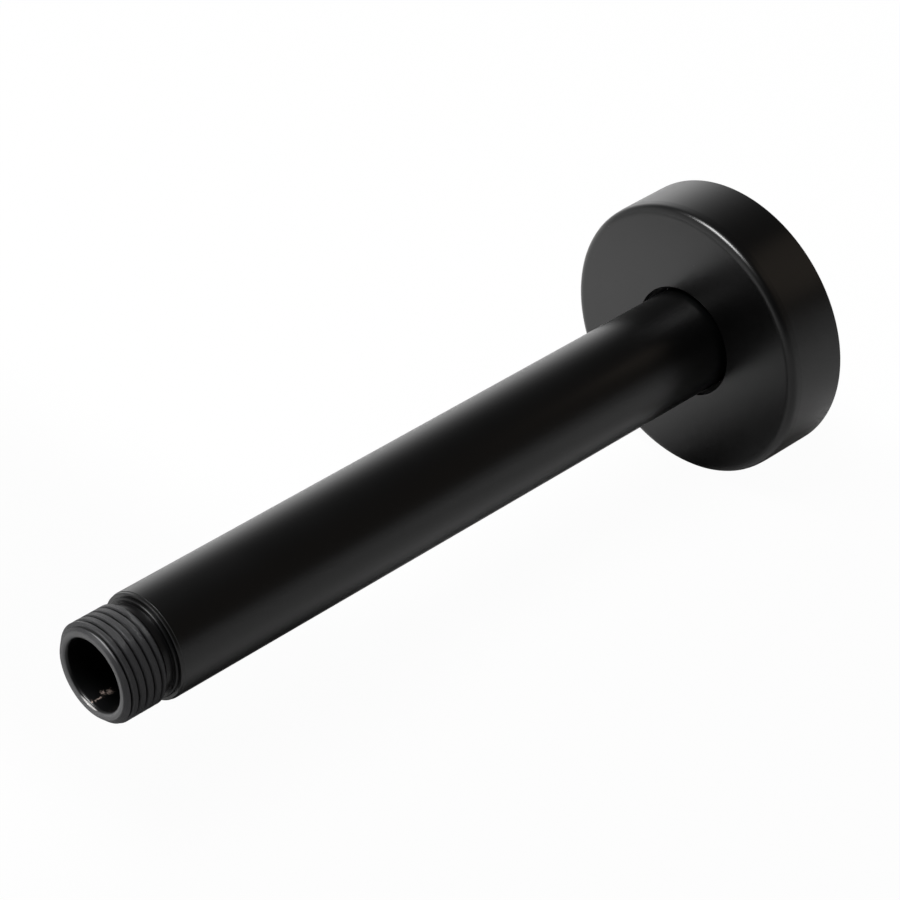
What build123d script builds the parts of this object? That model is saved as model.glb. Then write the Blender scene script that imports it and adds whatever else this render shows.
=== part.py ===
from build123d import *
import os

# Shower arm: a straight tube with a threaded nipple brazed into each end, and a cover flange
# that slides on the tube and is gripped by an O-ring in its hub.
# The arm lies along Y. The wall plane is y = 0, the outlet points to -Y and the inlet to +Y.
# Axial sizes are distances in front of the wall plane, so a place s lies at y = -s.

# Tube
tube_diameter = 22.0
tube_wall = 1.5
tube_inlet_end = 5.0
tube_outlet_end = 161.75
tube_end_chamfer = 0.4

# Threaded nipples, G 1/2
thread_diameter = 20.955
outlet_thread_length = 9.9
inlet_thread_length = 15.0
thread_tip_chamfer = 1.55
waterway_diameter = 14.5
waterway_mouth_chamfer = 0.3
collar_step = 0.55
collar_length = 0.85
relief_depth = 1.35
relief_width = 1.5
spigot_length = 8.0
spigot_end_chamfer = 0.5
braze_gap = 0.05

# Cover flange
flange_diameter = 60.0
rim_height = 15.0
rim_wall = 2.0
rim_edge_radius = 1.5
back_edge_chamfer = 0.3
front_wall = 2.5
inside_corner_radius = 1.0
face_gap = 1.1
face_hole_chamfer = 0.15
front_lip = 1.0
rear_lip = 1.5
hub_wall = 2.2
guide_clearance = 0.3

# O-ring in the flange's hub
ring_section = 2.65
ring_grip_clearance = 0.05
groove_clearance = 0.15

# Worked out from the sizes above
tube_radius = tube_diameter / 2
tube_bore_radius = tube_radius - tube_wall
thread_radius = thread_diameter / 2
relief_radius = thread_radius - relief_depth
waterway_radius = waterway_diameter / 2
flange_radius = flange_diameter / 2
face_hole_radius = tube_radius + face_gap
ring_inner_radius = tube_radius + ring_grip_clearance
ring_centre_radius = ring_inner_radius + ring_section / 2
groove_radius = ring_inner_radius + ring_section + groove_clearance
groove_front = rim_height - front_lip
groove_back = groove_front - ring_section - 2 * groove_clearance
ring_place = (groove_front + groove_back) / 2
hub_radius = groove_radius + hub_wall
hub_back = groove_back - rear_lip
inside_face_place = rim_height - front_wall


def make_nipple(name, tube_end, outward, thread_length):
    """Turn one nipple. A distance u runs outward from the tube's end face along the arm."""
    relief_start = collar_length
    relief_end = relief_start + relief_width
    tip = relief_end + thread_length
    outline = [
        (waterway_radius, -spigot_length),
        (tube_bore_radius - braze_gap - spigot_end_chamfer, -spigot_length),
        (tube_bore_radius - braze_gap, -spigot_length + spigot_end_chamfer),
        (tube_bore_radius - braze_gap, 0),
        (tube_radius - collar_step, 0),
        (tube_radius - collar_step, relief_start),
        (relief_radius, relief_start),
        (relief_radius, relief_end),
        (thread_radius, relief_end + relief_depth),
        (thread_radius, tip - thread_tip_chamfer),
        (thread_radius - thread_tip_chamfer, tip),
        (waterway_radius + waterway_mouth_chamfer, tip),
        (waterway_radius, tip - waterway_mouth_chamfer),
    ]
    with BuildPart() as nipple:
        with BuildSketch(Plane.XY):
            with BuildLine():
                Polyline([(r, outward * u - tube_end) for r, u in outline], close=True)
            make_face()
        revolve(axis=Axis.Y)
    nipple.part.label = name
    export_step(nipple.part, f"parts/{name}.step")


os.makedirs("parts", exist_ok=True)

# Tube: plain drawn pipe with both ends broken by a small chamfer.
with BuildPart() as arm_tube:
    with BuildSketch(Plane.XY):
        with BuildLine():
            Polyline(
                (tube_bore_radius, -tube_inlet_end),
                (tube_radius - tube_end_chamfer, -tube_inlet_end),
                (tube_radius, -tube_inlet_end - tube_end_chamfer),
                (tube_radius, -tube_outlet_end + tube_end_chamfer),
                (tube_radius - tube_end_chamfer, -tube_outlet_end),
                (tube_bore_radius, -tube_outlet_end),
                close=True,
            )
        make_face()
    revolve(axis=Axis.Y)
arm_tube.part.label = "arm_tube"
export_step(arm_tube.part, "parts/arm_tube.step")

# Nipples: spigot in the tube, collar against its end, relief groove, then the thread's envelope.
make_nipple("outlet_nipple", tube_outlet_end, -1, outlet_thread_length)
make_nipple("inlet_nipple", tube_inlet_end, 1, inlet_thread_length)

# Flange: a deep turned cap, open at the back, with a flat face and a rounded front edge. Behind the hole
# its hub holds the O-ring's groove, between a front lip that clears the tube and a rear lip that guides it.
with BuildPart() as flange:
    with BuildSketch(Plane.XY) as flange_section:
        with BuildLine():
            Polyline(
                (flange_radius, 0),
                (flange_radius, -rim_height),
                (face_hole_radius, -rim_height),
                (face_hole_radius, -groove_front),
                (groove_radius, -groove_front),
                (groove_radius, -groove_back),
                (tube_radius + guide_clearance, -groove_back),
                (tube_radius + guide_clearance, -hub_back),
                (hub_radius, -hub_back),
                (hub_radius, -inside_face_place),
                (flange_radius - rim_wall, -inside_face_place),
                (flange_radius - rim_wall, 0),
                close=True,
            )
        make_face()
        outer_corners = flange_section.vertices().group_by(Axis.X)[-1].sort_by(Axis.Y)
        fillet(outer_corners[0], radius=rim_edge_radius)
        chamfer(outer_corners[-1], length=back_edge_chamfer)
        hole_edge = flange_section.vertices().group_by(Axis.Y)[0].sort_by(Axis.X)[0]
        chamfer(hole_edge, length=face_hole_chamfer)
        inside_corner = Vector(flange_radius - rim_wall, -inside_face_place)
        fillet(flange_section.vertices().sort_by_distance(inside_corner)[0], radius=inside_corner_radius)
    revolve(axis=Axis.Y)
flange.part.label = "flange"
export_step(flange.part, "parts/flange.step")

# O-ring: lies in the hub's groove and grips the tube.
with BuildPart() as o_ring:
    with BuildSketch(Plane.XY):
        with Locations((ring_centre_radius, -ring_place)):
            Circle(ring_section / 2)
    revolve(axis=Axis.Y)
o_ring.part.label = "o_ring"
export_step(o_ring.part, "parts/o_ring.step")
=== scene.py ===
# %% [markdown]
# # A black shower arm
# A shower arm is the short pipe that carries water out of the wall to the shower head. This one has five
# pieces, all round about one axis: a straight tube, a threaded nipple brazed into each of its ends, a cover
# flange that hides the hole in the wall, and an O-ring inside the flange that grips the tube.
# The CAD model already fixes the sizes and places, so it is loaded first and every piece is made in its
# frame. The arm lies along Y: the wall is the plane y = 0, the outlet points to -Y and Z is up.
# Names in capitals are chosen values. Sizes of the pieces are in millimetres, and the stage is in metres.

# %% Load the measured frame
import bpy
import numpy as np
from mathutils import Matrix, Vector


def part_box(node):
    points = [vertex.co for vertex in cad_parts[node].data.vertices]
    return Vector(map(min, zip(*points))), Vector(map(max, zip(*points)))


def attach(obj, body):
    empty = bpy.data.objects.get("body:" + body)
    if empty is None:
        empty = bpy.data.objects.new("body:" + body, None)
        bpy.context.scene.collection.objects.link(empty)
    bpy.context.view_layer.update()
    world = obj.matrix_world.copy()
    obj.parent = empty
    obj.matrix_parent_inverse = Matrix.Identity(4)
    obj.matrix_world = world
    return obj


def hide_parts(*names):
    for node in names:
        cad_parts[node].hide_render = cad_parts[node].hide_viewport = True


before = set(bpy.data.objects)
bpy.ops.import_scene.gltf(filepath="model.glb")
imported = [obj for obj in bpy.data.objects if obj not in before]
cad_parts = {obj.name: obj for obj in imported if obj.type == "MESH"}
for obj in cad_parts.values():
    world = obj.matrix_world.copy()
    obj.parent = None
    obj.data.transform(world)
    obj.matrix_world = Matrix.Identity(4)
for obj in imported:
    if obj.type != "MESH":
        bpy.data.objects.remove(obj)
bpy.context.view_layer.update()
MM = 0.001
print("nodes in the frame:", sorted(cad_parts))

# %% [markdown]
# ## The camera
# The photograph looks down on the arm from the front and right with a long lens. Such a view is given most
# plainly by two angles, a place and a focal length. Blender's camera looks down its own -Z, so a camera that
# is tilted up by 90 degrees less the elevation, and then turned by the azimuth, has this view. The camera was
# held about a degree off level, so it is first rolled by that about its own line of sight.

# %% Place the camera
VIEW_AZIMUTH = 45.813
VIEW_ELEVATION = 33.727
VIEW_ROLL = -0.961
CAMERA_PLACE = (0.40215, -0.47360, 0.37979)
FOCAL_LENGTH = 138.32
SENSOR_WIDTH = 36.0
camera_data = bpy.data.cameras.new("photo_camera")
camera_data.sensor_width = SENSOR_WIDTH
camera_data.lens = FOCAL_LENGTH
camera = bpy.data.objects.new("photo_camera", camera_data)
camera.location = CAMERA_PLACE
tilt, turn, roll = np.radians((90 - VIEW_ELEVATION, VIEW_AZIMUTH, VIEW_ROLL))
aim = Matrix.Rotation(turn, 3, "Z") @ Matrix.Rotation(tilt, 3, "X") @ Matrix.Rotation(roll, 3, "Z")
camera.rotation_euler = aim.to_euler()
bpy.context.scene.collection.objects.link(camera)
bpy.context.scene.camera = camera
print("camera at azimuth", VIEW_AZIMUTH, "elevation", VIEW_ELEVATION)

# %% [markdown]
# ## Turned pieces
# Every piece here comes off a lathe, so its shape is one closed outline carried round the axis. Blender's
# Spin or Screw would do that too, but an outline kept as an array can be rounded, refined and cut by a thread
# before it becomes a mesh. Real edges are never sharp, and a coat of paint rounds them further. That small
# round is what catches the light, so each corner of an outline has its own rounding radius.
# An outline is a list of (radius, place), where a place is a distance in front of the wall.

# %% Round the corners of an outline
ARC = np.linspace(0, 1, 7)
GUARD = 0.3


def rounded(corners):
    """Closed outline with each corner (radius, place, rounding) replaced by an arc.
    The arc touches both sides at rounding / tan(half the corner's angle) from the corner, and its points are
    found by turning one end's radius into the other's. One guard point lies just beyond each end of the arc:
    the two hold the shading of the long straight sides flat."""
    corners = np.array(corners, float)
    point = corners[:, :2]
    rounding = corners[:, 2:]
    back = np.roll(point, 1, axis=0) - point
    ahead = np.roll(point, -1, axis=0) - point
    back /= np.linalg.norm(back, axis=1, keepdims=True)
    ahead /= np.linalg.norm(ahead, axis=1, keepdims=True)
    half = np.arccos(np.clip((back * ahead).sum(1, keepdims=True), -1, 1)) / 2
    touch = rounding / np.tan(half)
    inward = (back + ahead) / np.linalg.norm(back + ahead, axis=1, keepdims=True)
    centre = point + inward * rounding / np.sin(half)
    first = point + back * touch - centre
    last = point + ahead * touch - centre
    sweep = np.pi - 2 * half
    turn_first = (np.sin((1 - ARC) * sweep) / np.sin(sweep))[:, :, None]
    turn_last = (np.sin(ARC * sweep) / np.sin(sweep))[:, :, None]
    arc = centre[:, None] + turn_first * first[:, None] + turn_last * last[:, None]
    before = point + back * (touch + GUARD * rounding)
    after = point + ahead * (touch + GUARD * rounding)
    return np.concatenate([before[:, None], arc, after[:, None]], axis=1).reshape(-1, 2)


def refined(outline, gap):
    """The same outline with every side divided evenly into pieces no longer than its own gap."""
    ahead = np.roll(outline, -1, axis=0) - outline
    count = np.ceil(np.linalg.norm(ahead, axis=1) / gap).astype(int).clip(1)
    side = np.repeat(np.arange(len(outline)), count)
    step = np.arange(len(side)) - np.repeat(np.cumsum(count) - count, count)
    return outline[side] + ahead[side] * (step / count[side])[:, None]


print("an arc has", len(ARC), "points")

# %% [markdown]
# An outline and a set of angles give a grid of points. The grid closes on itself both ways, like a ring, so
# its faces need no caps, and each point is joined to its neighbours by rolling the grid's numbers.

# %% Carry an outline round the axis
def full_turn(count):
    """Angles in radians that divide a full turn into equal steps."""
    return np.arange(count) * 2 * np.pi / count


def carried_round(radius, place, t):
    """Grid of points about the axis: at the angle t each lies at (radius cos t, -place, radius sin t)."""
    return np.stack([radius * np.cos(t), 0 * t - place, radius * np.sin(t)], axis=-1)


def ring_mesh(name, grid):
    """Mesh of a grid of points in millimetres that closes on itself, along the outline and round the axis.
    Each quad joins a point, the next one round, the next one along the outline from there, and the next one
    along. If the volume inside comes out negative the quads face inwards, and their order is reversed."""
    rows, columns = grid.shape[:2]
    number = np.arange(rows * columns).reshape(rows, columns)
    round_it = np.roll(number, -1, axis=1)
    along = np.roll(number, -1, axis=0)
    both = np.roll(along, -1, axis=1)
    quads = np.stack([number, round_it, both, along], axis=-1).reshape(-1, 4)
    points = grid.reshape(-1, 3)
    a, b, c, d = points[quads].transpose(1, 0, 2)
    volume = ((a * np.cross(b, c)).sum() + (a * np.cross(c, d)).sum()) / 6
    if volume < 0:
        quads = quads[:, ::-1]
    mesh = bpy.data.meshes.new(name)
    mesh.vertices.add(len(points))
    mesh.vertices.foreach_set("co", (points * MM).astype(np.float32).ravel())
    mesh.loops.add(quads.size)
    mesh.loops.foreach_set("vertex_index", quads.astype(np.int32).ravel())
    mesh.polygons.add(len(quads))
    mesh.polygons.foreach_set("loop_start", np.arange(0, quads.size, 4, dtype=np.int32))
    mesh.polygons.foreach_set("use_smooth", np.ones(len(quads), bool))
    mesh.update(calc_edges=True)
    piece = bpy.data.objects.new(name, mesh)
    bpy.context.scene.collection.objects.link(piece)
    print(name, "has", 2 * len(quads), "triangles and", round(abs(volume) / 1000, 2), "cubic centimetres")
    return piece


def turned(name, outline, columns):
    """Surface of revolution: every point of the outline carried round the axis in so many columns."""
    return ring_mesh(name, carried_round(outline[:, :1], outline[:, 1:], full_turn(columns)))


def mount(piece, body, node):
    """Let a piece move with a CAD body and stand for a CAD node, whose own mesh is hidden."""
    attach(piece, body)
    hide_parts(node)


# %% [markdown]
# ## The tube
# The tube is drawn brass pipe, sawn to length, with its ends broken by a small chamfer before coating. At the
# outlet the photograph shows a thin double line of light where the tube ends, so there the outline steps down
# by a tenth of a millimetre before a bevel. These corners keep a very narrow rounding.

# %% Make the tube
TUBE_WALL = 1.5
TUBE_CHAMFER = 0.4
# Corners of the outlet end: how far below the surface, how far back from the end, and the rounding.
OUTLET_END = [(0, 0.75, 0.03), (0.1, 0.68, 0.03), (0.14, 0.15, 0.04), (0.32, 0, 0.03)]
tube_low, tube_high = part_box("arm_tube")
tube_radius = tube_high.x / MM
tube_back = -tube_high.y / MM
tube_front = -tube_low.y / MM
tube_bore = tube_radius - TUBE_WALL
tube_outline = rounded([
    (tube_radius - TUBE_CHAMFER, tube_back, 0.1),
    (tube_radius, tube_back + TUBE_CHAMFER, 0.1),
    *[(tube_radius - below, tube_front - behind, rounding) for below, behind, rounding in OUTLET_END],
    (tube_bore, tube_front, 0.05),
    (tube_bore, tube_back, 0.05),
])
tube = turned("tube", refined(tube_outline, gap=6.0), columns=224)
mount(tube, "arm", "arm_tube")
print("tube from", round(tube_back, 2), "to", round(tube_front, 2), "mm in front of the wall")

# %% [markdown]
# ## The cover flange
# The flange is a deep turned cap, open towards the wall. Its face is flat, and a hub behind the hole holds a
# groove for the O-ring. The rim tapers very slightly towards its front edge, which has a radius of about a
# millimetre and a half: a bright line runs along it in the photograph, with a dark one behind it. All of that
# is one outline of thirteen corners.

# %% Make the flange
RIM_WALL = 2.0
FRONT_WALL = 2.5
FACE_GAP = 1.1
GUIDE_GAP = 0.3
GROOVE_RADIUS = 13.85
GROOVE_WIDTH = 2.95
FRONT_LIP = 1.0
REAR_LIP = 1.5
HUB_WALL = 2.2
EDGE_ROUND = 1.6
EDGE_TAPER = 0.15
TAPER_LENGTH = 2.8
TAPER_ROUND = 2.0
flange_low, flange_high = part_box("flange")
flange_radius = flange_high.x / MM
face_place = -flange_low.y / MM
inside_place = face_place - FRONT_WALL
hole_radius = tube_radius + FACE_GAP
guide_radius = tube_radius + GUIDE_GAP
groove_front = face_place - FRONT_LIP
groove_back = groove_front - GROOVE_WIDTH
hub_radius = GROOVE_RADIUS + HUB_WALL
hub_back = groove_back - REAR_LIP
flange_outline = rounded([
    (flange_radius, 0, 0.3),
    (flange_radius, face_place - TAPER_LENGTH, TAPER_ROUND),
    (flange_radius - EDGE_TAPER, face_place, EDGE_ROUND),
    (hole_radius, face_place, 0.15),
    (hole_radius, groove_front, 0.12),
    (GROOVE_RADIUS, groove_front, 0.3),
    (GROOVE_RADIUS, groove_back, 0.3),
    (guide_radius, groove_back, 0.2),
    (guide_radius, hub_back, 0.2),
    (hub_radius, hub_back, 0.4),
    (hub_radius, inside_place, 0.6),
    (flange_radius - RIM_WALL, inside_place, 1.0),
    (flange_radius - RIM_WALL, 0, 0.25),
])
flange = turned("cover_flange", refined(flange_outline, gap=2.5), columns=320)
mount(flange, "cover", "flange")
print("flange", round(2 * flange_radius, 2), "mm across, face at", round(face_place, 2), "mm")

# %% [markdown]
# ## The O-ring
# A rubber O-ring in the hub's groove grips the tube and keeps the flange where it is pushed. Its outline is
# a circle. A moulded ring has a fine ridge along its inside and outside, where the two halves of the mould
# met, but this one is hidden in its groove, so a plain circle is enough.

# %% Make the O-ring
ring_low, ring_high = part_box("o_ring")
ring_thickness = (ring_high.y - ring_low.y) / MM
ring_centre = ring_high.x / MM - ring_thickness / 2
ring_place = -(ring_high.y + ring_low.y) / 2 / MM
t = full_turn(40)
ring_outline = np.stack([
    ring_centre + ring_thickness / 2 * np.cos(t),
    ring_place + ring_thickness / 2 * np.sin(t),
], axis=1)
seal_ring = turned("seal_ring", ring_outline, columns=160)
mount(seal_ring, "seal", "o_ring")
print("O-ring of", round(ring_thickness, 2), "mm section at", round(ring_place, 2), "mm")

# %% [markdown]
# ## The threaded nipples
# Both ends carry a standard half-inch pipe thread: 14 turns to the inch, with flanks 55 degrees apart. In the
# photograph its crests are wide flat bands and its grooves are narrow, half filled by the coat, so the crests
# are left flat by the blank and the groove is shallower than the standard says.
# A thread could be swept along a helix and cut from the nipple with a Boolean, but that leaves slivers where
# it runs out. Here the thread is a rule instead: it says how far from the axis the metal reaches at any place
# and angle. The nipple's radius is the smaller of that and its plain outline, so the thread runs out in the
# chamfers by itself, as it does behind a cutting die.

# %% The rule of the thread
INCH = 25.4
TURNS_PER_INCH = 14
PITCH = INCH / TURNS_PER_INCH
FLANK = np.radians(55 / 2)
CREST_FLAT = 1.1
ROOT_ROUND = 0.1
arc_end = ROOT_ROUND * np.cos(FLANK)
arc_rise = ROOT_ROUND * (1 - np.sin(FLANK))
thread_depth = ((PITCH - CREST_FLAT) / 2 - arc_end) / np.tan(FLANK) + arc_rise


def thread_radius(place, angle, crest, start):
    """How far from the axis a right-hand thread reaches at a place and angle.
    One turn of the angle moves the thread by one pitch, so x, the distance from the nearest root line, is the
    place less the angle's share of a pitch, wrapped to half a pitch either way. Near the root the form is an
    arc. Beyond it a straight flank rises and goes on above the crests, where the blank cuts it off."""
    x = (place - start - PITCH * angle / (2 * np.pi)) / PITCH
    x = PITCH * np.abs(x - np.round(x))
    in_root = ROOT_ROUND - np.sqrt(np.clip(ROOT_ROUND**2 - x**2, 0, None))
    on_flank = arc_rise + (x - arc_end) / np.tan(FLANK)
    return crest - thread_depth + np.where(x < arc_end, in_root, on_flank)


def soft_min(a, b, width):
    """The smaller of two arrays, with the crease between them rounded over a width."""
    share = np.clip(0.5 + 0.5 * (b - a) / width, 0, 1)
    return b + (a - b) * share - width * share * (1 - share)


print("thread: pitch", round(PITCH, 3), "mm, depth", round(thread_depth, 3), "mm")

# %% [markdown]
# A nipple's blank is turned first: a spigot that is brazed into the tube, a collar, a relief groove where the
# die runs out, and the stretch to be threaded, with a chamfered tip. The die bites deepest as it starts, so
# the groove of the first turn is deeper than the rest and a little out of step with it.

# %% The sizes of a nipple
SPIGOT_LENGTH = 8.0
SPIGOT_CHAMFER = 0.5
BRAZE_GAP = 0.05
COLLAR_STEP = 0.9
COLLAR_ROUND = 0.28
STANDARD_CREST = 20.955 / 2
RELIEF_DEPTH = 1.35
RELIEF_START = 0.6
RELIEF_END = 2.1
RELIEF_ROUND = 0.05
THREAD_CREST = 10.25
TIP_RADIUS = 8.91
WATERWAY = 7.4
MOUTH_ROUND = 1.0
FIRST_TURN_LENGTH = 1.7
FIRST_TURN_FADE = 0.7
FIRST_TURN_SHIFT = 0.3
FIRST_TURN_BITE = 0.18
CREASE = 0.14
PLAIN_GAP = 2.0
NIPPLE_COLUMNS = 320
collar_radius = tube_radius - COLLAR_STEP
relief_radius = STANDARD_CREST - RELIEF_DEPTH
spigot_radius = tube_bore - BRAZE_GAP
print("relief groove", round(2 * relief_radius, 2), "mm across, crests", round(2 * THREAD_CREST, 2), "mm")

# %% Make both nipples
def nipple(name, node, tube_end, outward, gap, start):
    """One nipple. Distances u run outward from the tube's end. The spigot goes into the tube, the collar
    stands against its end, then come the relief groove and the thread with its chamfered tip. From the
    relief's end on, the radius is the smaller of the plain outline and the thread's rule."""
    low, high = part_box(node)
    tip = (high.y - low.y) / MM - SPIGOT_LENGTH
    outline = rounded([
        (WATERWAY, -SPIGOT_LENGTH, 0.1),
        (spigot_radius - SPIGOT_CHAMFER, -SPIGOT_LENGTH, 0.1),
        (spigot_radius, SPIGOT_CHAMFER - SPIGOT_LENGTH, 0.1),
        (spigot_radius, 0, 0.05),
        (collar_radius, 0, 0.05),
        (collar_radius, RELIEF_START, COLLAR_ROUND),
        (relief_radius, RELIEF_START, RELIEF_ROUND),
        (relief_radius, RELIEF_END, RELIEF_ROUND),
        (THREAD_CREST, RELIEF_END + THREAD_CREST - relief_radius, 0.1),
        (THREAD_CREST, tip - (THREAD_CREST - TIP_RADIUS), 0.1),
        (TIP_RADIUS, tip, 0.12),
        (WATERWAY, tip, MOUTH_ROUND),
    ])
    on_thread = (outline[:, 1] > RELIEF_END) & (outline[:, 0] > relief_radius + RELIEF_ROUND)
    outline = refined(outline, np.where(on_thread, gap, PLAIN_GAP))
    plain = outline[:, :1]
    u = outline[:, 1:]
    place = tube_end + outward * u
    t = full_turn(NIPPLE_COLUMNS)
    first_turn = np.clip((u - tip + FIRST_TURN_LENGTH) / FIRST_TURN_FADE, 0, 1)
    crest = THREAD_CREST - FIRST_TURN_BITE * first_turn
    thread = thread_radius(place + FIRST_TURN_SHIFT * first_turn, t, crest, start)
    cut = u > RELIEF_END - 2 * RELIEF_ROUND
    radius = np.where(cut, soft_min(plain, thread, CREASE), plain + 0 * t)
    piece = ring_mesh(name, carried_round(radius, place, t))
    mount(piece, "arm", node)
    return piece, tube_end + outward * tip


# Places where the lines of the threads' roots would cross the angle 0 if the threads went on to the wall.
OUTLET_START = -0.24 - PITCH / 2
INLET_START = 0.0
outlet, outlet_tip = nipple(
    "outlet_thread", "outlet_nipple", tube_front, outward=1, gap=0.07, start=OUTLET_START)
inlet, inlet_tip = nipple(
    "inlet_thread", "inlet_nipple", tube_back, outward=-1, gap=0.1, start=INLET_START)
print("outlet tip at", round(outlet_tip, 2), "mm, inlet tip at", round(inlet_tip, 2), "mm")

# %% [markdown]
# ## Writing finishes as expressions
# A procedural material is a small calculation carried out at every point of a surface. Drawn as nodes it soon
# becomes a web that is hard to read. Here one small class stands for a wire between nodes, so that ordinary
# arithmetic on wires adds the Math nodes, and one method adds every other kind of node.

# %% Wires that can be calculated with
class Wire:
    """One output of a node. Arithmetic on it adds a Math node to the same finish."""

    def __init__(self, board, socket):
        self.board = board
        self.socket = socket

    def math(self, operation, *inputs):
        """Add a Math node with this operation on wires or numbers."""
        return self.board.node("ShaderNodeMath", {"operation": operation}, dict(enumerate(inputs)))

    def __add__(self, other):
        return self.math("ADD", self, other)

    def __radd__(self, other):
        return self.math("ADD", other, self)

    def __sub__(self, other):
        return self.math("SUBTRACT", self, other)

    def __rsub__(self, other):
        return self.math("SUBTRACT", other, self)

    def __mul__(self, other):
        return self.math("MULTIPLY", self, other)

    def __rmul__(self, other):
        return self.math("MULTIPLY", other, self)

    def __truediv__(self, other):
        return self.math("DIVIDE", self, other)

    def __pow__(self, other):
        return self.math("POWER", self, other)

    def between(self, low, high):
        """0 below low, 1 above high, and a smooth rise from one to the other."""
        settings = {"interpolation_type": "SMOOTHSTEP"}
        return self.board.node("ShaderNodeMapRange", settings, {"Value": self, 1: low, 2: high})


def distance(a, b):
    """How far a point lies from where two wires are both 0: the root of the sum of their squares."""
    return a.math("SQRT", a * a + b * b)


def largest(first, *others):
    """The largest of several wires."""
    for other in others:
        first = first.math("MAXIMUM", first, other)
    return first


print("a wire can be added, subtracted, multiplied, divided and raised to a power")

# %% Boards that hold the nodes of a finish
class Board:
    """The nodes of one finish, or of the world's light."""

    def __init__(self, tree):
        self.tree = tree
        tree.nodes.clear()

    def node(self, kind, settings=None, sockets=None, out=0):
        """Add a node: first its settings, then the values or links of its sockets. Gives one output."""
        made = self.tree.nodes.new(kind)
        for key, value in (settings or {}).items():
            setattr(made, key, value)
        for key, value in (sockets or {}).items():
            if isinstance(value, Wire):
                self.tree.links.new(value.socket, made.inputs[key])
            else:
                made.inputs[key].default_value = value
        return Wire(self, made.outputs[out]) if len(made.outputs) else made

    def here(self):
        """Where a point lies, in Object coordinates."""
        return self.node("ShaderNodeTexCoord", out="Object")

    def axes(self, vector):
        """The x, y and z of a vector."""
        return [self.node("ShaderNodeSeparateXYZ", None, {0: vector}, out=k) for k in range(3)]

    def mix(self, factor, first, second):
        """A colour that goes from the first to the second as the factor goes from 0 to 1."""
        settings = {"data_type": "RGBA", "clamp_factor": True}
        return self.node("ShaderNodeMix", settings, {0: factor, 6: first, 7: second}, out=2)

    def vector(self, x, y, z):
        """A vector of three wires or numbers."""
        return self.node("ShaderNodeCombineXYZ", None, {0: x, 1: y, 2: z})

    def noise(self, vector, scale, detail):
        """Soft noise from 0 to 1, with so many lumps to a metre and so many finer layers."""
        return self.node("ShaderNodeTexNoise", None, {"Vector": vector, "Scale": scale, "Detail": detail})


def new_finish(name):
    """An empty material and its board."""
    material = bpy.data.materials.new(name)
    material.use_nodes = True
    return material, Board(material.node_tree)


def put_on(material, board, shader, *meshes):
    """Join a shader to the output of its material, and put the material on meshes."""
    board.node("ShaderNodeOutputMaterial", None, {"Surface": shader})
    for mesh in meshes:
        mesh.materials.append(material)
    print(material.name, "on", ", ".join(mesh.name for mesh in meshes))


def grey(value):
    """A colour with equal parts of red, green and blue."""
    return (value, value, value, 1.0)


print("a board adds nodes, and a finish is put on by", put_on.__name__)

# %% [markdown]
# ## The satin black coat
# The tube and the flange have a smooth black coat with a soft shine. Almost no light comes back out of it by
# scattering: what the eye sees is the room, mirrored weakly at the front and strongly at grazing angles, and
# blurred by the satin surface. So the base colour is nearly black and the roughness does the work. A fine
# orange peel, slow changes of gloss and a few specks of dust keep it from looking computed. The coat hardly
# reaches into the flange's hub, so it stays rough there.

# %% Make the satin black coat
COAT_BLACK = (0.0006, 0.0006, 0.0007, 1)
DUST_GREY = grey(0.12)
DUST_SHARE = 0.008
SATIN = 0.26
black_coat, board = new_finish("satin_black_coat")
here = board.here()
x, y, z = board.axes(here)
gloss_drift = board.noise(here, scale=55.0, detail=3.0)
peel = board.noise(here, scale=1400.0, detail=1.0)
dust_cells = {"Vector": here, "Scale": 800.0}
dust_distance = board.node("ShaderNodeTexVoronoi", {"feature": "F1"}, dust_cells, out="Distance")
dust_lot = board.node("ShaderNodeTexVoronoi", {"feature": "F1"}, dust_cells, out="Color")
dust_lot = board.node("ShaderNodeSeparateColor", None, {0: dust_lot}, out=0)
dust = (1 - dust_distance.between(0.05, 0.1)) * dust_lot.between(1 - DUST_SHARE, 1.001 - DUST_SHARE)
from_axis = distance(x, z) / MM
behind_face = 1 - (-1 * y / MM).between(face_place - 0.2, face_place - 0.05)
off_tube = from_axis.between(tube_radius + 0.05, tube_radius + 0.15)
past_groove = from_axis.between(GROOVE_RADIUS + 0.1, GROOVE_RADIUS + 0.3)
in_hub = off_tube * behind_face * (1 - past_groove)
coat_shader = board.node("ShaderNodeBsdfPrincipled", None, {
    "Base Color": board.mix(dust, COAT_BLACK, DUST_GREY),
    "Roughness": SATIN + 0.05 * gloss_drift + 0.3 * dust + 0.6 * in_hub,
    "IOR": 1.6,
    "Normal": board.node("ShaderNodeBump", None, {"Strength": 0.05, "Distance": 0.0001, "Height": peel}),
})
put_on(black_coat, board, coat_shader, tube.data, flange.data)
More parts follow.
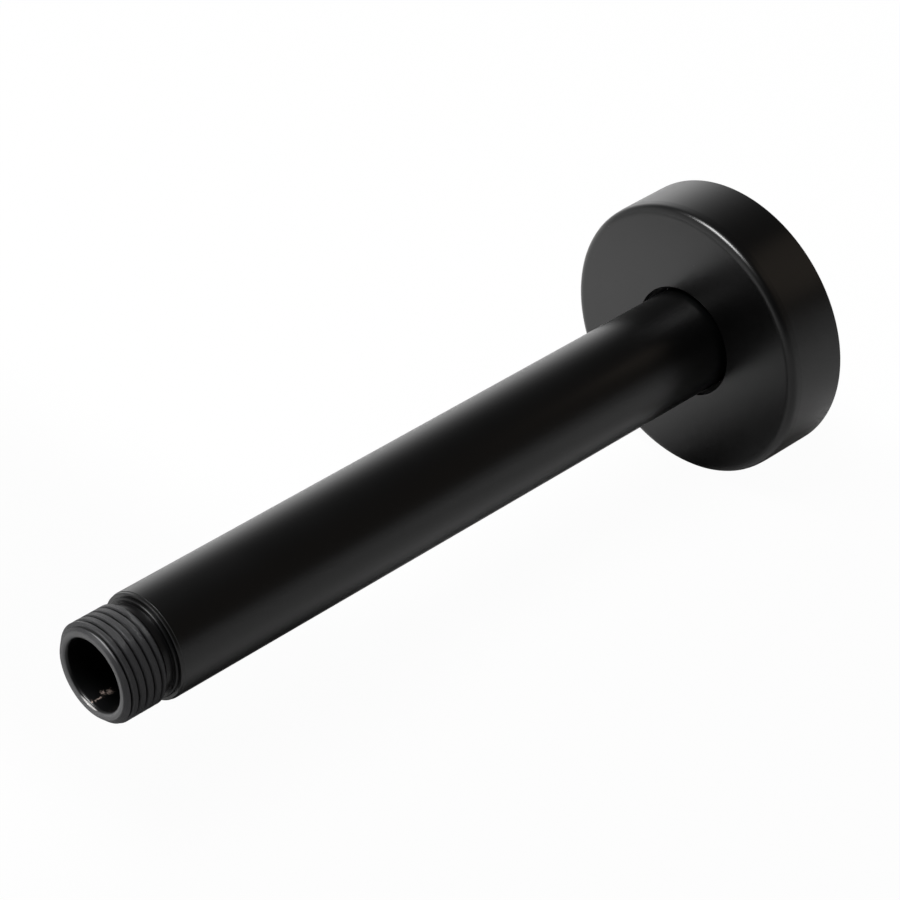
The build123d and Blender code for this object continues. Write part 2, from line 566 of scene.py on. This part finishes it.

# %% [markdown]
# ## The coat on the threads
# On the nipples the same coat lies thinner over turned metal. The marks of the cutting tool show through it
# as fine rings, and the edge of the die leaves faint marks across the crests, so these surfaces look greyer
# and rougher. The coat has run together in the relief groove and in the bore, which stay black. The roots
# stay black too, partly from pooled coat and partly as painted shade.
# A mask painted by hand would need an image. Here each place is told apart by its distance from the axis,
# along it and round it, so Object coordinates are enough.

# %% Tell the places on a nipple apart
ROOT_POOL_AND_SHADE = 0.48
CREST_GREY = 0.24
RELIEF_FADE = 0.05
thread_coat, board = new_finish("thin_coat_on_turned_metal")
here = board.here()
x, y, z = board.axes(here)
from_axis = distance(x, z) / MM
around = x.math("ARCTAN2", z, x)
along = -1 * y / MM
depth = outlet_tip - along
outlet_relief = tube_front + RELIEF_END
inlet_relief = tube_back - RELIEF_END
past_outlet_relief = along.between(outlet_relief - RELIEF_FADE, outlet_relief + RELIEF_FADE)
past_inlet_relief = 1 - along.between(inlet_relief - RELIEF_FADE, inlet_relief + RELIEF_FADE)
threaded = past_outlet_relief + past_inlet_relief
outside_bore = from_axis.between(WATERWAY + 0.2, WATERWAY + 0.45)
end_face = (1 - from_axis.between(TIP_RADIUS, TIP_RADIUS + 0.2)) * threaded * outside_bore
# The black at the bottom of the thread's grooves is partly pooled coat and partly painted shade.
root_to_crest = from_axis.between(THREAD_CREST - ROOT_POOL_AND_SHADE, THREAD_CREST - CREST_GREY)
on_chamfer = (from_axis - depth - TIP_RADIUS).between(-0.15, -0.06)
crest = threaded * largest(root_to_crest, on_chamfer)
print("thread grey from", CREST_GREY, "mm below the crests, black from", ROOT_POOL_AND_SHADE, "mm")

# %% Let the tool marks show through the coat
# The darker colour is the pooled coat, and in the thread's roots it is also painted shade.
ROOT_COLOUR = (0.003, 0.003, 0.0032, 1)
CREST_COLOUR = (0.034, 0.034, 0.036, 1)
END_COLOUR = (0.1, 0.1, 0.102, 1)
ring_marks = board.noise(board.vector(along, from_axis, 0.0), scale=14.0, detail=3.0)
die_marks = board.noise(board.vector(around * 31.0, along * 0.7, from_axis * 0.7), scale=1.0, detail=2.0)
marks = 0.6 + 0.4 * ring_marks + 0.4 * die_marks
thread_colour = board.mix(crest * marks, ROOT_COLOUR, CREST_COLOUR)
thread_colour = board.mix(end_face * marks, thread_colour, END_COLOUR)
thread_bump = board.node("ShaderNodeBump", None, {
    "Strength": 1.0,
    "Distance": 0.00017,
    "Height": (ring_marks + 0.1 * die_marks) * (crest + 0.2 * end_face),
})
print("tool marks on the crests and the end face")

# %% [markdown]
# Handling has left its marks on the outlet: the mouth's edge is worn to bare metal at the bottom, and a
# scratch in the bore's floor shows a little of the brass. The edge of the first turn has a painted highlight
# at the top. Each is a spot with a place and two half sizes. The scratch has several, and noise makes its
# edge ragged.

# %% Wear the outlet and paint a highlight on its first turn
# The first colour is a painted highlight. The others are the scratch's brass and the worn mouth's bare metal.
LIP_HIGHLIGHT_COLOUR = (0.3, 0.3, 0.305, 1)
SCRATCH_COLOUR = (0.7, 0.56, 0.49, 1)
WORN_COLOUR = (0.92, 0.9, 0.88, 1)
RAGGEDNESS = 2.4
SCRATCH_LEVEL = 1.25
# Spots of the scratch: strength, depth in the bore, angle in degrees, half length and half width.
SCRATCH_SPOTS = [
    (1.0, 5.1, -103.5, 1.3, 0.85),
    (1.0, 4.0, -107.0, 0.6, 0.9),
    (0.6, 2.6, -102.0, 2.3, 0.3),
    (0.4, 0.9, -103.5, 0.5, 0.6),
]


def end_spot(angle, radius, half_turn, half_width, core):
    """A spot on the nipple's end: 1 up to a share, core, of an ellipse, and falling to 0 at its edge. Its
    middle is at an angle in degrees and a radius, and its half sizes are in radians and millimetres."""
    aside = (around - np.radians(angle)) / half_turn
    outward = (from_axis - radius) / half_width
    return 1 - distance(aside, outward).between(core, 1.0)


def bore_spot(strength, middle, angle, half_length, half_width):
    """A spot in the bore: its strength in the middle, 0 on an ellipse of the half sizes, less beyond."""
    away = (depth - middle) / half_length
    aside = (around - np.radians(angle)) * (WATERWAY / half_width)
    return strength * (1 - distance(away, aside))


# A painted highlight: a lighter grey spot on the chamfered edge of the first turn, at the top.
lip_highlight = end_spot(angle=69, radius=TIP_RADIUS + 0.68, half_turn=0.55, half_width=0.17, core=0.2)
lip_highlight = lip_highlight * on_chamfer
ragged = board.noise(here, scale=2200.0, detail=3.0)
spots = largest(*[bore_spot(*spot) for spot in SCRATCH_SPOTS])
scratch = (spots + RAGGEDNESS * ragged - SCRATCH_LEVEL).between(0.1, 1.1) * (1 - outside_bore)
worn = end_spot(angle=-103.5, radius=WATERWAY + 0.33, half_turn=0.34, half_width=0.17, core=0.6)
worn = worn * depth.between(-0.1, 0.1) * (1 - depth.between(0.9, 1.2))
thread_colour = board.mix(lip_highlight, thread_colour, LIP_HIGHLIGHT_COLOUR)
thread_colour = board.mix(scratch, thread_colour, SCRATCH_COLOUR)
thread_colour = board.mix(worn, thread_colour, WORN_COLOUR)
print("a rubbed lip, a worn mouth and a scratch of", len(SCRATCH_SPOTS), "spots")

# %% Make the coat on the threads
thread_shader = board.node("ShaderNodeBsdfPrincipled", None, {
    "Base Color": thread_colour,
    "Roughness": 0.3 + 0.06 * crest + 0.1 * end_face + 0.15 * scratch,
    "Metallic": largest(worn, 0.3 * scratch),
    "IOR": 1.45,
    "Normal": thread_bump,
})
put_on(thread_coat, board, thread_shader, outlet.data, inlet.data)

# %% [markdown]
# ## The rubber
# The O-ring is black moulded rubber. It is matt, with a fine dull bloom, and lies in shadow.

# %% Make the rubber
ring_rubber, board = new_finish("matt_black_rubber")
bloom = board.noise(board.here(), scale=700.0, detail=4.0)
rubber_shader = board.node("ShaderNodeBsdfPrincipled", None, {
    "Base Color": board.mix(bloom, grey(0.002), grey(0.006)),
    "Roughness": 0.65 + 0.15 * bloom,
    "IOR": 1.4,
    "Normal": board.node("ShaderNodeBump", None, {"Strength": 0.2, "Distance": 0.00005, "Height": bloom}),
})
put_on(ring_rubber, board, rubber_shader, seal_ring.data)

# %% [markdown]
# ## The floor
# The arm is shown level, its flange half a millimetre above a white floor, so that the flange can slide all
# along the tube. The photograph's ground is pure white, so for the camera the floor is mostly an even white
# glow, and only a small share of its own lit colour stays in, which keeps a soft shadow. Reflections see the
# floor as it is lit, white at the left, with painted shade in its colour: greyer to the right and a painted
# shadow below the outlet, with painted light beside the flange. Together with the real shadow, that gives
# the coat its pale lower edges and the dark line of the arm's own shadow.

# %% Make the floor
FLOOR_GAP = 0.0005
FLOOR_CORNERS = [(-0.3, -0.42), (0.55, -0.42), (0.55, 0.5), (-0.3, 0.5)]
PAPER_WHITE = 0.86
PAINTED_SHADE_TO_RIGHT = 0.53
CAMERA_WHITE = 0.97
floor_height = -flange_radius * MM - FLOOR_GAP
floor_mesh = bpy.data.meshes.new("floor")
floor_mesh.from_pydata([(*corner, floor_height) for corner in FLOOR_CORNERS], [], [(0, 1, 2, 3)])
floor = bpy.data.objects.new("floor", floor_mesh)
bpy.context.scene.collection.objects.link(floor)
floor_white, board = new_finish("white_floor")
camera_ray = board.node("ShaderNodeLightPath", out="Is Camera Ray")
x, y = board.axes(board.here())[:2]
# Painted shade in the floor's lit colour: darker to the right, with a painted shadow below the outlet.
# Painted light beside the flange and near the wall plane takes some of that shade away again.
painted_light_beside_flange = y.between(-0.015, 0.0) * (1 - x.between(0.02, 0.038))
painted_shade_right = x.between(-0.075, 0.055) * (1 - 0.15 * y.between(-0.03, 0.02) - 0.8 * painted_light_beside_flange)
painted_outlet_shadow = y.between(-0.19, -0.165) * (1 - y.between(-0.12, -0.08)) * (1 - x.between(0.005, 0.04))
paper_with_painted_shade = (PAPER_WHITE - PAINTED_SHADE_TO_RIGHT * painted_shade_right) * (1 - 0.7 * painted_outlet_shadow)
lit = board.node("ShaderNodeBsdfDiffuse", None, {"Color": paper_with_painted_shade})
glow = board.node("ShaderNodeEmission", None, {"Color": grey(1.0), "Strength": 1.0})
floor_shader = board.node("ShaderNodeMixShader", None, {0: CAMERA_WHITE * camera_ray, 1: lit, 2: glow})
put_on(floor_white, board, floor_shader, floor_mesh)
print("floor", round(-floor_height / MM, 2), "mm below the axis")

# %% [markdown]
# ## The light
# What a black satin piece shows is its surroundings. The pale sweep along the tube's upper left comes from a
# bright wall at the left and behind, and the flange's grey face from two weaker glows at the left and in
# front. The dark top mirrors an unlit room. These are painted into the world by direction, and only the
# camera sees plain white there.

# %% Paint the room
ROOM_DARK = grey(0.012)
ROOM_WARM = (0.085, 0.075, 0.065, 1)
HORIZON = grey(0.29)
WARM_SIDE = (0.6, 0.7, 0.38)
# Glows from the left, from the front and from the bright wall: direction, narrowness and brightness.
GLOWS = [
    ((-0.85, -0.5, 0.17), 8.0, 0.6),
    ((-0.3, -0.94, 0.15), 6.0, 0.8),
    ((-0.79, 0.61, 0.0), 7.0, 1.2),
]
world = bpy.data.worlds.new("studio")
bpy.context.scene.world = world
world.use_nodes = True
board = Board(world.node_tree)
direction = board.node("ShaderNodeTexCoord", out="Generated")
camera_ray = board.node("ShaderNodeLightPath", out="Is Camera Ray")
up = board.axes(direction)[2]


def glow_towards(way, power):
    """A round glow in the world: the cosine of the angle to a direction, raised to a power."""
    product = {"operation": "DOT_PRODUCT"}
    facing = board.node("ShaderNodeVectorMath", product, {0: direction, 1: way}, out="Value")
    return largest(facing, 0.0) ** power


room_colour = board.mix(glow_towards(WARM_SIDE, 4.0), ROOM_DARK, ROOM_WARM)
room_colour = board.mix(up.between(0.0, 0.3), HORIZON, room_colour)
for way, power, level in GLOWS:
    room_colour = board.mix(glow_towards(way, power), room_colour, grey(level))
room = board.node("ShaderNodeBackground", None, {"Color": room_colour, "Strength": 1.0})
white = board.node("ShaderNodeBackground", None, {"Color": grey(1.0), "Strength": 1.0})
world_shader = board.node("ShaderNodeMixShader", None, {0: camera_ray, 1: room, 2: white})
board.node("ShaderNodeOutputWorld", None, {"Surface": world_shader})
print("a dark room with", len(GLOWS), "glows and a warm side")

# %% [markdown]
# A soft box overhead gives the floor its light and draws the thin bright lines on the edges. A small warm
# card behind the flange is only seen as the faint brown gleam on its rim.

# %% Hang the lamps
WARM_LIGHT = (1.0, 0.84, 0.68)


def soft_box(name, target, azimuth, elevation, reach, width, height, watts):
    """A rectangular lamp that looks at a target. Azimuth 0 is in front of it, and positive is to +X."""
    data = bpy.data.lights.new(name, "AREA")
    data.shape = "RECTANGLE"
    data.size = width
    data.size_y = height
    data.energy = watts
    lamp = bpy.data.objects.new(name, data)
    a, e = np.radians((azimuth, elevation))
    away = np.array([np.sin(a) * np.cos(e), -np.cos(a) * np.cos(e), np.sin(e)])
    lamp.location = np.array(target) + reach * away
    lamp.rotation_euler = (np.pi / 2 - e, 0, a)
    lamp.visible_camera = False
    bpy.context.scene.collection.objects.link(lamp)
    return lamp


soft_box(
    "top_box", target=(0, -0.08, 0), azimuth=-25, elevation=74,
    reach=1.5, width=0.95, height=0.5, watts=27.0)
warm_card = soft_box(
    "warm_card", target=(0.020, -0.006, 0.022), azimuth=148.7, elevation=35.2,
    reach=0.072, width=0.045, height=0.05, watts=0.0012)
warm_card.data.color = WARM_LIGHT
bpy.context.scene.view_settings.view_transform = "Standard"
print("lit by a soft box overhead, a warm card and a painted room")
